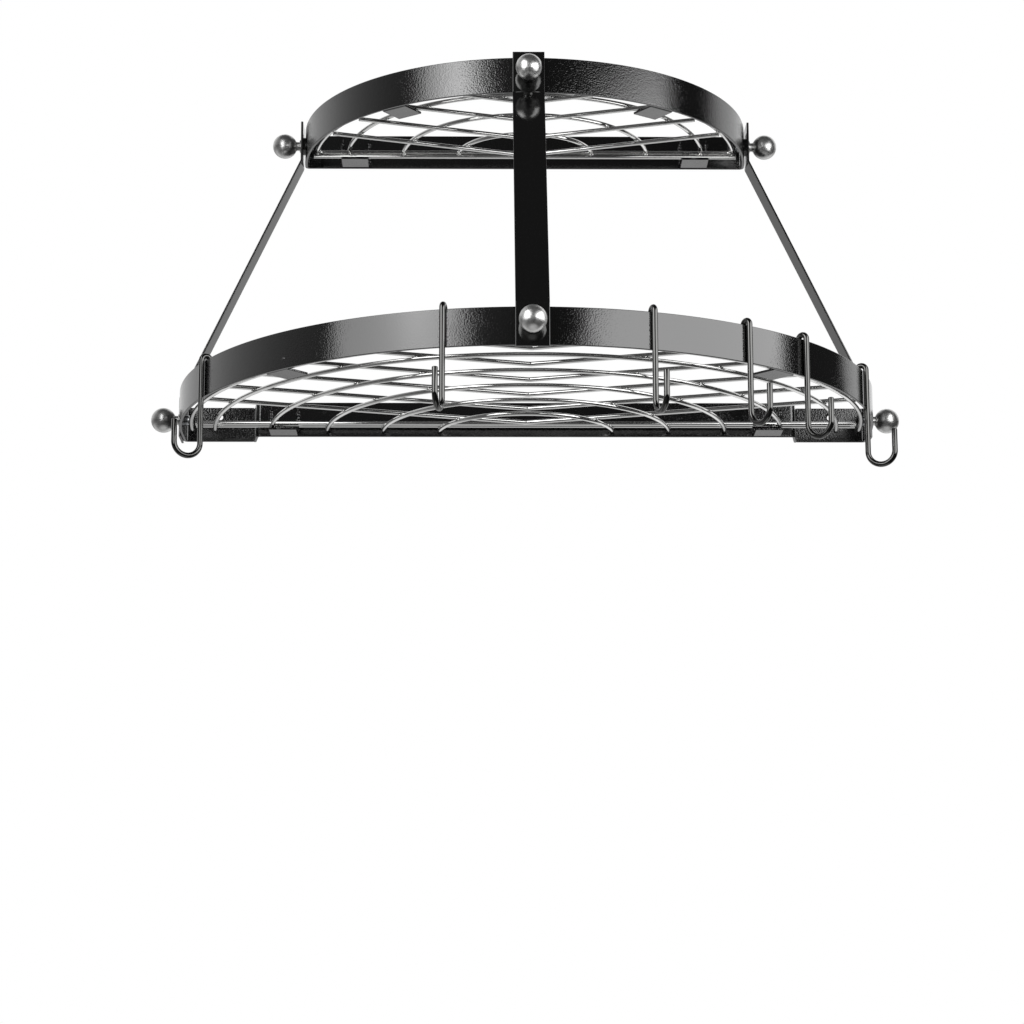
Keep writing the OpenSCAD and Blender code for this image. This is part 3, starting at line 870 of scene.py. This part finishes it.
@dataclass
class Clips:
    """The eight L-clips with their weld beads."""

    shop: Workshop
    width: float = 24.0
    thickness: float = 2.0
    leg: float = 27.0
    ledge: float = 25.0
    lift: float = 0.2
    bend_r: float = 2.0
    edge_r: float = 0.4
    bead_r: float = 2.3
    bead_inset: float = 3.0
    bead_drops: int = 7
    bead_sink: float = 0.5
    bead_vary: tuple[float, float, float] = (0.5, 0.9, 0.5)
    melt: float = 0.4
    upper_angle: float = 36.0
    lower_angle: float = 43.0
    upper_back_x: float = 154.0
    lower_back_x: float = 214.0

    def plate(self) -> BMesh:
        """Bends the clip itself: its leg's back on X = 0, its ledge towards -X.

        Returns:
            The clip in mm.
        """
        half = self.thickness / 2
        path = [
            Vector((-half, 0, self.lift + self.leg)),
            Vector((-half, 0, self.lift + half)),
            Vector((-self.ledge, 0, self.lift + half)),
        ]
        stock = FlatStock(self.width, self.thickness, self.edge_r)
        return Bender(stock, path[0], -UP, AHEAD).follow(path, self.bend_r).cut()

    def bead(self, side: int, seed: int) -> BMesh:
        """Lays one weld bead along an edge of the leg as a row of frozen drops.

        Args:
            side: 1 or -1, the edge of the leg.
            seed: The number that varies the drops.

        Returns:
            The bead in mm.
        """
        low = self.lift + self.bead_inset + self.bead_r
        high = self.lift + self.leg - self.bead_inset - self.bead_r
        swell, wander, stray = self.bead_vary
        bm = bmesh.new()
        for number in range(self.bead_drops):
            place = Vector((seed * 7.3, number * 1.9, 0.5))
            big, deep, aside = (noise.noise(place + UP * 10 * axis) for axis in range(3))
            size = self.bead_r * (0.95 + swell * big)
            spot = Vector((wander * deep - self.bead_sink, side * (self.width / 2 + stray * aside), 0))
            spot.z = low + (high - low) * number / (self.bead_drops - 1)
            drop = Matrix.Translation(spot) @ Matrix.Diagonal((size, size, size, 1.0))
            bmesh.ops.create_icosphere(bm, subdivisions=3, radius=1.0, matrix=drop)
        return bm

    def clip(self, place: Matrix, seat: float, seed: int, name: str) -> Object:
        """Builds one clip with its beads.

        Args:
            place: Where it stands.
            seat: Distance that its beads reach past its back to the curved band.
            seed: The number that varies its beads.
            name: The object's name.

        Returns:
            The clip.
        """
        beads = [self.bead(side, seed + side) for side in (-1, 1)]
        for bead in beads:
            bmesh.ops.translate(bead, verts=list(bead.verts), vec=(seat, 0, 0))
        piece = to_object(moved(gather(beads), place), name + "_beads")
        melt = piece.modifiers.new("melt", "REMESH")
        melt.mode = "VOXEL"
        melt.voxel_size = self.melt * MM
        settle = piece.modifiers.new("settle", "SMOOTH")
        settle.iterations = 1
        bake_modifiers(piece)
        weld = bmesh.new()
        weld.from_mesh(piece.data)
        bmesh.ops.scale(weld, vec=(1 / MM, 1 / MM, 1 / MM), verts=list(weld.verts))
        bpy.data.objects.remove(piece)
        clip = to_object(gather([moved(self.plate(), place), weld]), name)
        even_normals(clip)
        return clip

    def build(self) -> None:
        """Builds the eight clips."""
        seed = 1
        for shelf, angle, back_x, back_y in (
            (UPPER, self.upper_angle, self.upper_back_x, -UPPER.thickness),
            (LOWER, self.lower_angle, self.lower_back_x, -JOGGLE_DEPTH),
        ):
            inner = shelf.radius - shelf.thickness
            chord = math.sqrt(inner**2 - self.width**2 / 4)
            centre = Matrix.Translation((0, -shelf.straight, shelf.bottom))
            for side in (Side.LEFT, Side.RIGHT):
                word = side.name.lower()
                turn = Matrix.Rotation(math.radians(side.value * angle - 90), 4, "Z")
                place = centre @ turn @ Matrix.Translation((chord, 0, 0))
                front = self.clip(place, 0.0, seed, f"{shelf.name}_front_ledge_{word}")
                self.shop.enter(front, Slot.PAINT, "rack", f"{shelf.name}_front_clip_{word}")
                spot = Matrix.Translation((side.value * back_x, back_y, shelf.bottom))
                place = spot @ Matrix.Rotation(math.radians(90), 4, "Z")
                back = self.clip(place, -0.6, seed + 4, f"{shelf.name}_back_ledge_{word}")
                self.shop.enter(back, Slot.PAINT, "rack", f"{shelf.name}_back_clip_{word}")
                seed += 11


@dataclass
class Knobs:
    """The six ball knobs with their screws and lock washers."""

    shop: Workshop
    ball_d: float = 22.0
    reach: float = 15.0
    neck_d: float = 8.0
    collar_d: float = 11.6
    collar_t: float = 1.6
    head_d: float = 9.5
    head_h: float = 3.2
    shank_d: float = 5.0
    lock_t: float = 1.2
    grip: float = 9.0
    dome: float = 1.6
    cross: tuple[float, float, float] = (5.0, 1.1, 3.6)
    cross_taper: tuple[float, float, float] = (0.35, 0.8, 1.0)

    def ball(self) -> BMesh:
        """Turns one knob, its foot at Z = 0.

        Returns:
            The knob in mm.
        """
        radius, neck = self.ball_d / 2, self.neck_d / 2
        first = math.asin(neck / radius)
        steps = 40
        arc = [first + (math.pi - first) * i / steps for i in range(steps + 1)]
        collar = self.collar_d / 2
        profile = [(0.0, 0.0), (collar, 0.0), (collar, self.collar_t), (neck, self.collar_t)]
        profile += [(radius * math.sin(a), self.reach - radius * math.cos(a)) for a in arc]
        return lathe(profile, {1: 0.3, 2: 0.5, 3: 0.6, 4: 0.7}, 72)

    def screw(self, length: float) -> BMesh:
        """Makes one domed screw, its head bearing on Z = 0.

        Args:
            length: The shank's length.

        Returns:
            The screw in mm.
        """
        head, shank = self.head_d / 2, self.shank_d / 2
        profile = [
            (0.0, -self.head_h),
            (head - self.dome, -self.head_h),
            (head, -self.head_h + self.dome),
            (head, 0.0),
            (shank, 0.0),
            (shank, length),
            (0.0, length),
        ]
        return lathe(profile, {1: 0.8, 2: 0.8, 3: 0.2}, 48)

    def recess(self) -> BMesh:
        """Makes the tapered cross that is punched into a screw's head.

        Returns:
            The punch in mm.
        """
        bm = bmesh.new()
        for turned in (0, 90):
            arm = bmesh.ops.create_cube(bm, size=1.0)["verts"]
            bmesh.ops.scale(bm, vec=self.cross, verts=arm)
            bottom = [v for v in arm if v.co.z > 0]
            bmesh.ops.scale(bm, vec=self.cross_taper, verts=bottom)
            turn = Matrix.Rotation(math.radians(turned), 4, "Z")
            bmesh.ops.transform(bm, matrix=Matrix.Translation((0, 0, -self.head_h)) @ turn, verts=arm)
        return bm

    def lock_washer(self) -> BMesh:
        """Bends one split lock washer, one face on Z = 0.

        Returns:
            The washer in mm.
        """
        hole = self.shank_d / 2 + 0.25
        width = LOCK_R - hole
        middle = hole + width / 2
        start = Vector((middle, 0, self.lock_t / 2))
        return Bender(FlatStock(self.lock_t, width, 0.15), start, AHEAD, UP).bend(348, middle, 7.5).cut(0.1)

    def build(self) -> None:
        """Builds the knobs, the screws and the washers."""
        screws, washers, punches = [], [], []
        for shelf in (LOWER, UPPER):
            for side in Side:
                place = knob_place(side, shelf)
                word = side.name.lower()
                knob = to_object(moved(self.ball(), place), f"{shelf.name}_{word}_ball_knob")
                even_normals(knob)
                self.shop.enter(knob, Slot.PEWTER, "rack", f"knob_{shelf.name}_{word}")
                depth = seat_depth(side, shelf)
                seat = place @ Matrix.Translation((0, 0, -depth - self.lock_t))
                screws.append(moved(self.screw(depth + self.lock_t + self.grip), seat))
                punches.append(moved(self.recess(), seat))
                washers.append(moved(self.lock_washer(), seat))
        heads = to_object(gather(screws), "cross_head_screws")
        punch(heads, punches, merge=True)
        even_normals(heads)
        self.shop.enter(heads, Slot.SCREW, "rack", "knob_screws")
        rings = to_object(gather(washers), "split_lock_washers")
        self.shop.enter(rings, Slot.SCREW, "rack", "lock_washers")
        self.shop.keep("saddle_washers", Slot.PAINT)


@dataclass
class WireGrid:
    """One loose grid of arcs, chevrons and back wires, welded where they cross."""

    shop: Workshop
    shelf: Shelf
    body: str
    arc_first: float
    arc_count: int
    point_step: float
    point_count: int
    angle: float
    back_wires: list[float]
    back_over: float
    closed_rim: bool = False
    wire_d: float = 3.8
    seat: float = 2.5
    weld_bite: float = 0.1
    rim_inset: float = 8.0
    corner_r: float = 5.0
    arc_centre: float = 12.0
    arc_step: float = 49.25
    arc_gap: float = 0.2
    open_end: float = 25.0
    point_gap: float = 4.5
    point_r: float = 4.0
    arm_over: float = 0.5
    end_ease: float = 0.25
    nugget: tuple[float, float, float] = (2.3, 2.1, 1.2)

    def __post_init__(self) -> None:
        """Works out the two layers and where the wires lie."""
        shelf = self.shelf
        low = shelf.bottom + self.seat + self.wire_d / 2
        high = low + self.wire_d - self.weld_bite
        self.arc_layer, self.line_layer = (high, low) if self.closed_rim else (low, high)
        self.rim_r = shelf.radius - shelf.thickness - self.rim_inset
        self.arcs = [self.arc_first + self.arc_step * n for n in range(self.arc_count)]
        first = self.back_wires[-1] + self.point_gap
        self.points = [first + self.point_step * n for n in range(self.point_count)]
        butt = self.back_wires[0] + self.wire_d / 2 + self.arc_gap
        self.wall_end = butt if self.closed_rim else self.open_end
        drops = [wire - shelf.straight for wire in self.back_wires]
        self.back_reach = [math.sqrt(self.rim_r**2 - drop**2) + self.back_over for drop in drops]

    def arc(self, radius: float, centre: float, half: float) -> BMesh:
        """Bends one arc of wire.

        Args:
            radius: The arc's radius.
            centre: Distance of its centre from the wall.
            half: Half its angle in degrees.

        Returns:
            The wire in mm.
        """
        turn = math.radians(half)
        start = Vector((-radius * math.sin(turn), -centre - radius * math.cos(turn), self.arc_layer))
        heading = Vector((math.cos(turn), -math.sin(turn), 0))
        wire = Bender(RoundStock(self.wire_d), start, heading, UP)
        return wire.bend(2 * half, radius, 2.5).cut(self.end_ease)

    def rim_wire(self) -> BMesh:
        """Bends the rim wire, which is closed along the back on the upper grid.

        Returns:
            The wire in mm.
        """
        if not self.closed_rim:
            half = math.degrees(math.acos((self.wall_end - self.shelf.straight) / self.rim_r))
            return self.arc(self.rim_r, self.shelf.straight, half)
        back, round_r = self.back_wires[0], self.corner_r
        centre_x = math.sqrt((self.rim_r - round_r) ** 2 - (back + round_r) ** 2)
        lean = math.degrees(math.atan2(back + round_r, centre_x))
        wire = Bender(RoundStock(self.wire_d), Vector((0, -back, self.arc_layer)), -RIGHT, UP)
        wire.feed(centre_x).bend(90 + lean, round_r, 10).bend(180 - 2 * lean, self.rim_r, 2.5)
        return wire.bend(90 + lean, round_r, 10).feed(centre_x).close()

    def arm_reach(self, point: float) -> float:
        """Finds how far a chevron's arm reaches to the side before it passes the rim wire.

        Args:
            point: Distance of the chevron's point from the wall.

        Returns:
            The reach along X.
        """
        slope = math.tan(math.radians(self.angle))
        drop, radius = point - self.shelf.straight, self.rim_r + self.arm_over
        root = math.sqrt((slope * drop) ** 2 - (1 + slope**2) * (drop**2 - radius**2))
        return (root - slope * drop) / (1 + slope**2)

    def chevron(self, point: float) -> BMesh:
        """Bends one chevron, its point towards the wall.

        Args:
            point: Distance of its point from the wall.

        Returns:
            The wire in mm.
        """
        reach = self.arm_reach(point)
        drop = reach * math.tan(math.radians(self.angle))
        path = [
            Vector((-reach, -point - drop, self.line_layer)),
            Vector((0, -point, self.line_layer)),
            Vector((reach, -point - drop, self.line_layer)),
        ]
        wire = Bender(RoundStock(self.wire_d), path[0], path[1] - path[0], UP)
        return wire.follow(path, self.point_r).cut(self.end_ease)

    def back_wire(self, distance: float, reach: float) -> BMesh:
        """Cuts one straight back wire, from its distance to the wall and half its length."""
        start = Vector((-reach, -distance, self.line_layer))
        return Bender(RoundStock(self.wire_d), start, RIGHT, UP).feed(2 * reach).cut(self.end_ease)

    def crossings(self) -> list[Vector]:
        """Finds where the arcs and the rim cross the chevrons and back wires.

        Returns:
            The crossings, halfway between the two layers.
        """
        height = (self.arc_layer + self.line_layer) / 2
        rounds = [(radius, self.arc_centre) for radius in self.arcs] + [(self.rim_r, self.shelf.straight)]
        slope = math.tan(math.radians(self.angle))
        lines = [(point, slope, self.arm_reach(point)) for point in self.points]
        lines += [(wire, 0.0, reach) for wire, reach in zip(self.back_wires, self.back_reach)]
        found = []
        for radius, centre in rounds:
            for point, rise, reach in lines:
                drop = point - centre
                inside = (rise * drop) ** 2 - (1 + rise**2) * (drop**2 - radius**2)
                if inside <= 0:
                    continue
                for sign in (-1, 1):
                    x = (sign * math.sqrt(inside) - rise * drop) / (1 + rise**2)
                    if 0 < x <= reach:
                        y = -point - rise * x
                        found += [Vector((x, y, height)), Vector((-x, y, height))]
        return found

    def nuggets(self) -> BMesh:
        """Makes the small beads of squeezed metal at the spot welds.

        Returns:
            The beads in mm.
        """
        bm = bmesh.new()
        for number, spot in enumerate(self.crossings()):
            vary = 1 + 0.15 * noise.noise(spot * 0.37 + Vector((number, 0, 0)))
            along, across, thick = self.nugget
            place = Matrix.Translation(spot) @ Matrix.Diagonal((along * vary, across * vary, thick, 1.0))
            bmesh.ops.create_icosphere(bm, subdivisions=2, radius=1.0, matrix=place)
        return bm

    def build(self) -> None:
        """Builds the grid as its two welded layers."""
        arcs = [self.rim_wire()]
        for radius in self.arcs:
            half = math.degrees(math.acos((self.wall_end - self.arc_centre) / (radius - self.wire_d / 2)))
            arcs.append(self.arc(radius, self.arc_centre, half))
        lines = [self.chevron(point) for point in self.points]
        lines += [self.back_wire(wire, reach) for wire, reach in zip(self.back_wires, self.back_reach)]
        lines.append(self.nuggets())
        name = self.shelf.name
        layer = to_object(gather(arcs), f"{name}_arc_wires", 50)
        self.shop.enter(layer, Slot.WIRE, self.body, f"{name}_grid_arcs")
        layer = to_object(gather(lines), f"{name}_chevron_wires", 50)
        self.shop.enter(layer, Slot.WIRE, self.body, f"{name}_grid_chevrons")


@dataclass
class SHooks:
    """The six S-hooks on the rim of the lower shelf."""

    shop: Workshop
    angles: tuple[float, ...] = (-62.75, -13.25, 18.2, 34.5, 46.9, 68.8)
    wire_d: float = 4.8
    gap: float = 0.3
    inner: float = 12.0
    bend_r: float = 11.5
    drop: float = 71.5
    tip: float = 18.5

    def hook(self, angle: float) -> BMesh:
        """Bends one hook, from its short leg inside the rim to its tip.

        Args:
            angle: Its place on the rim, in degrees from straight ahead.

        Returns:
            The hook in mm.
        """
        turn = math.radians(angle)
        out = Vector((math.sin(turn), -math.cos(turn), 0))
        loop_r = LOWER.thickness / 2 + self.gap + self.wire_d / 2
        inner_r = LOWER.radius - LOWER.thickness / 2 - loop_r
        start = Vector((0, -LOWER.straight, LOWER.top - self.inner)) + out * inner_r
        wire = Bender(RoundStock(self.wire_d, 20), start, UP, UP.cross(out))
        wire.feed(self.inner).bend(180, loop_r, 10).feed(self.drop)
        return wire.bend(-180, self.bend_r, 6).feed(self.tip).cut(0.7)

    def build(self) -> None:
        """Builds the six hooks."""
        for number, angle in enumerate(self.angles, 1):
            piece = to_object(self.hook(angle), f"bent_hook_{number}", 50)
            self.shop.enter(piece, Slot.HOOK, f"hook_{number}", f"s_hook_{number}")


# Studio


def stage_panel(name: str, corners: list[tuple[float, float, float]]) -> Object:
    """Makes a flat four-cornered panel that isn't part of the object.

    Args:
        name: The panel's name.
        corners: Its corners in metres.

    Returns:
        The panel.
    """
    bm = bmesh.new()
    bmesh.ops.contextual_create(bm, geom=[bm.verts.new(corner) for corner in corners])
    mesh = bpy.data.meshes.new(name)
    bm.to_mesh(mesh)
    bm.free()
    panel = bpy.data.objects.new(name, mesh)
    bpy.context.scene.collection.objects.link(panel)
    return panel


@dataclass(frozen=True)
class SoftBox:
    """One soft box, which lights the rack but isn't seen by the camera.

    Its places are in metres. One lamp stands behind the cloth of the left box.
    """

    name: str
    rear: tuple[float, float]
    front: tuple[float, float]
    top: float
    top_fade: float
    rear_share: float
    low: float = -0.13
    low_fade: float = 0.1
    rear_fade: float = 0.4
    front_fade: float = 0.35
    lamp: tuple[float, float, float] = (-0.5, -0.85, 0.5)
    lamp_r: float = 0.45
    lamp_gain: float = 1.8

    def hang(self, level: float) -> None:
        """Hangs the soft box.

        Args:
            level: The strength of its light.
        """
        low, top, (rear_x, rear_y), (front_x, front_y) = self.low, self.top, self.rear, self.front
        foot = [(rear_x, rear_y, low), (front_x, front_y, low)]
        head = [(front_x, front_y, top), (rear_x, rear_y, top)]
        panel = stage_panel(self.name, foot + head)
        material, tree = new_tree(f"{self.name} cloth")
        place = add_node(tree, "ShaderNodeNewGeometry").outputs["Position"]
        part = add_node(tree, "ShaderNodeSeparateXYZ", inputs={0: place}).outputs
        apart = add_node(
            tree, "ShaderNodeVectorMath", settings={"operation": "DISTANCE"}, inputs={0: place, 1: self.lamp}
        ).outputs["Value"]
        strength: NodeSocket | None = None
        for value, start, end, first, last, blend in (
            (part["Z"], top - self.top_fade, top, level, 0.0, "SMOOTHSTEP"),
            (part["Z"], low, low + self.low_fade, 0.0, 1.0, "SMOOTHSTEP"),
            (part["Y"], rear_y - self.rear_fade, rear_y, 1.0, self.rear_share, "LINEAR"),
            (part["Y"], front_y, front_y + self.front_fade, 0.0, 1.0, "SMOOTHSTEP"),
            (apart, 0.0, self.lamp_r, self.lamp_gain, 1.0, "SMOOTHSTEP"),
        ):
            fade = add_node(
                tree,
                "ShaderNodeMapRange",
                settings={"interpolation_type": blend},
                inputs={"Value": value, "From Min": start, "From Max": end, "To Min": first, "To Max": last},
            ).outputs[0]
            if strength is not None:
                fade = add_node(
                    tree,
                    "ShaderNodeMath",
                    settings={"operation": "MULTIPLY"},
                    inputs={0: strength, 1: fade},
                ).outputs[0]
            strength = fade
        glow = add_node(tree, "ShaderNodeEmission", inputs={"Strength": strength}).outputs[0]
        add_node(tree, "ShaderNodeOutputMaterial", inputs={"Surface": glow})
        panel.data.materials.append(material)
        panel.visible_camera = False
        panel.visible_shadow = False


@dataclass
class Studio:
    """The camera, the two soft boxes, the pale floor and the white world."""

    place: tuple[float, float, float] = (-42.6, -2410.9, -589.0)
    lens: float = 97.3
    pitch: float = 11.781
    yaw: float = 0.723
    roll: float = -0.11
    floor_z: float = -1.0
    floor_half: float = 6.0
    flag_x: float = 1.0
    level: float = 3.4
    ambient: float = 0.85
    dark: float = 0.04

    def camera(self) -> None:
        """Sets the camera where the picture was taken from."""
        data = bpy.data.cameras.new("camera")
        data.sensor_width, data.lens = 36.0, self.lens
        data.clip_start, data.clip_end = 0.1, 50.0
        pitch, yaw, roll = (math.radians(v) for v in (self.pitch, self.yaw, self.roll))
        ahead = Vector((math.sin(yaw) * math.cos(pitch), math.cos(yaw) * math.cos(pitch), math.sin(pitch)))
        level = Vector((math.cos(yaw), -math.sin(yaw), 0))
        above = level.cross(ahead)
        right = level * math.cos(roll) + above * math.sin(roll)
        above = above * math.cos(roll) - level * math.sin(roll)
        seat = Matrix((right, above, -ahead)).transposed().to_4x4()
        camera = bpy.data.objects.new("camera", data)
        camera.matrix_world = Matrix.Translation(Vector(self.place) * MM) @ seat
        bpy.context.scene.collection.objects.link(camera)
        bpy.context.scene.camera = camera

    def flag(self) -> None:
        """Hangs the black flag that keeps the right-hand ends of the bands dark."""
        outline = ((-0.25, -0.3), (0.63, -0.3), (0.03, 0.9), (-0.25, 0.9))
        panel = stage_panel("flag", [(self.flag_x, y, z) for y, z in outline])
        material, tree = new_tree("black flag cloth")
        glow = add_node(tree, "ShaderNodeEmission", inputs={"Strength": self.dark}).outputs[0]
        add_node(tree, "ShaderNodeOutputMaterial", inputs={"Surface": glow})
        panel.data.materials.append(material)
        panel.visible_camera = False
        panel.visible_diffuse = False
        panel.visible_shadow = False

    def floor(self) -> None:
        """Lays the pale floor."""
        half = self.floor_half
        corners = [(-half, -half, self.floor_z), (half, -half, self.floor_z), (half, half, self.floor_z)]
        panel = stage_panel("floor", corners + [(-half, half, self.floor_z)])
        material, tree = new_tree("pale studio floor")
        shader = add_node(
            tree, "ShaderNodeBsdfPrincipled", inputs={"Base Color": linear("#e9e9e8"), "Roughness": 0.7}
        )
        add_node(tree, "ShaderNodeOutputMaterial", inputs={"Surface": shader.outputs[0]})
        panel.data.materials.append(material)
        panel.visible_glossy = False

    def world(self) -> None:
        """Makes the world white to the camera and behind the rack, and dark overhead and in front."""
        world = bpy.data.worlds.new("studio")
        bpy.context.scene.world = world
        world.use_nodes = True
        tree = world.node_tree
        tree.nodes.clear()
        ray = add_node(tree, "ShaderNodeLightPath").outputs
        way = add_node(tree, "ShaderNodeTexCoord").outputs["Generated"]
        part = add_node(tree, "ShaderNodeSeparateXYZ", inputs={0: way}).outputs
        level = add_node(
            tree, "ShaderNodeMath", settings={"operation": "ADD"}, inputs={0: part["Z"], 1: 0.04}
        ).outputs[0]
        apart = add_node(
            tree, "ShaderNodeMath", settings={"operation": "ABSOLUTE"}, inputs={0: level}
        ).outputs[0]
        fades: dict[str, NodeSocket] = {}
        for name, value, start, end, first, last, blend in (
            # The backdrop's left half brightens slowly towards the wall, its right half in one step
            ("rise", part["Y"], -0.6, 0.56, 0.0, 1.0, "LINEAR"),
            ("right", part["Y"], 0.30, 0.44, 0.0, 1.0, "SMOOTHSTEP"),
            ("side", part["X"], -0.15, 0.15, 0.0, 1.0, "LINEAR"),
            # It is dark overhead, dimmer low down, and has a dim belt along the horizon
            ("height", part["Z"], 0.72, 0.92, 1.0, 0.12, "SMOOTHSTEP"),
            ("depth", part["Z"], -0.85, -0.45, 0.55, 1.0, "LINEAR"),
            ("horizon", apart, 0.17, 0.29, 0.45, 1.0, "SMOOTHSTEP"),
            # Straight below lies the pale floor
            ("ground", part["Z"], -0.95, -0.82, 0.6, self.dark, "SMOOTHSTEP"),
        ):
            fades[name] = add_node(
                tree,
                "ShaderNodeMapRange",
                settings={"interpolation_type": blend},
                inputs={"Value": value, "From Min": start, "From Max": end, "To Min": first, "To Max": last},
            ).outputs[0]
        curve = add_node(
            tree, "ShaderNodeMath", settings={"operation": "POWER"}, inputs={0: fades["rise"], 1: 2.0}
        ).outputs[0]
        left = add_node(
            tree, "ShaderNodeMapRange", inputs={"Value": curve, "To Min": 0.12, "To Max": 0.8}
        ).outputs[0]
        sheen = add_node(
            tree,
            "ShaderNodeMix",
            settings={"data_type": "FLOAT"},
            inputs={0: fades["side"], 2: left, 3: fades["right"]},
        ).outputs[0]
        for operation, name in (
            ("MULTIPLY", "height"),
            ("MULTIPLY", "depth"),
            ("MULTIPLY", "horizon"),
            ("MAXIMUM", "ground"),
        ):
            sheen = add_node(
                tree,
                "ShaderNodeMath",
                settings={"operation": operation},
                inputs={0: sheen, 1: fades[name]},
            ).outputs[0]
        mirrored = add_node(
            tree,
            "ShaderNodeMix",
            settings={"data_type": "FLOAT"},
            inputs={0: ray["Is Glossy Ray"], 2: self.ambient, 3: sheen},
        ).outputs[0]
        seen = add_node(
            tree,
            "ShaderNodeMix",
            settings={"data_type": "FLOAT"},
            inputs={0: ray["Is Camera Ray"], 2: mirrored, 3: 1.0},
        ).outputs[0]
        glow = add_node(tree, "ShaderNodeBackground", inputs={"Color": seen, "Strength": 1.0}).outputs[0]
        add_node(tree, "ShaderNodeOutputWorld", inputs={"Surface": glow})

    def build(self) -> None:
        """Sets up the studio."""
        bpy.context.scene.view_settings.view_transform = "Standard"
        self.camera()
        SoftBox("left_soft_box", (-0.48, -0.44), (-0.57, -1.80), 0.85, 0.16, 0.65).hang(self.level)
        SoftBox("right_soft_box", (0.562, -0.254), (0.52, -1.95), 0.58, 0.25, 1.0).hang(self.level)
        self.flag()
        self.floor()
        self.world()


def main() -> None:
    """Builds the studio and every piece."""
    logging.basicConfig(level=logging.INFO, format="%(name)s: %(message)s")
    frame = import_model()
    shop = Workshop(frame)
    Studio().build()
    Bands(shop).build()
    Straps(shop).build()
    Clips(shop).build()
    Knobs(shop).build()
    WireGrid(
        shop,
        UPPER,
        "upper_grid",
        arc_first=61.0,
        arc_count=3,
        point_step=45.5,
        point_count=4,
        angle=18.5,
        back_wires=[22.5],
        back_over=3.0,
        closed_rim=True,
    ).build()
    WireGrid(
        shop,
        LOWER,
        "lower_grid",
        arc_first=78.0,
        arc_count=5,
        point_step=50.0,
        point_count=6,
        angle=17.0,
        back_wires=[30.0, 38.0],
        back_over=-3.0,
    ).build()
    SHooks(shop).build()


if __name__ == "__main__":
    main()
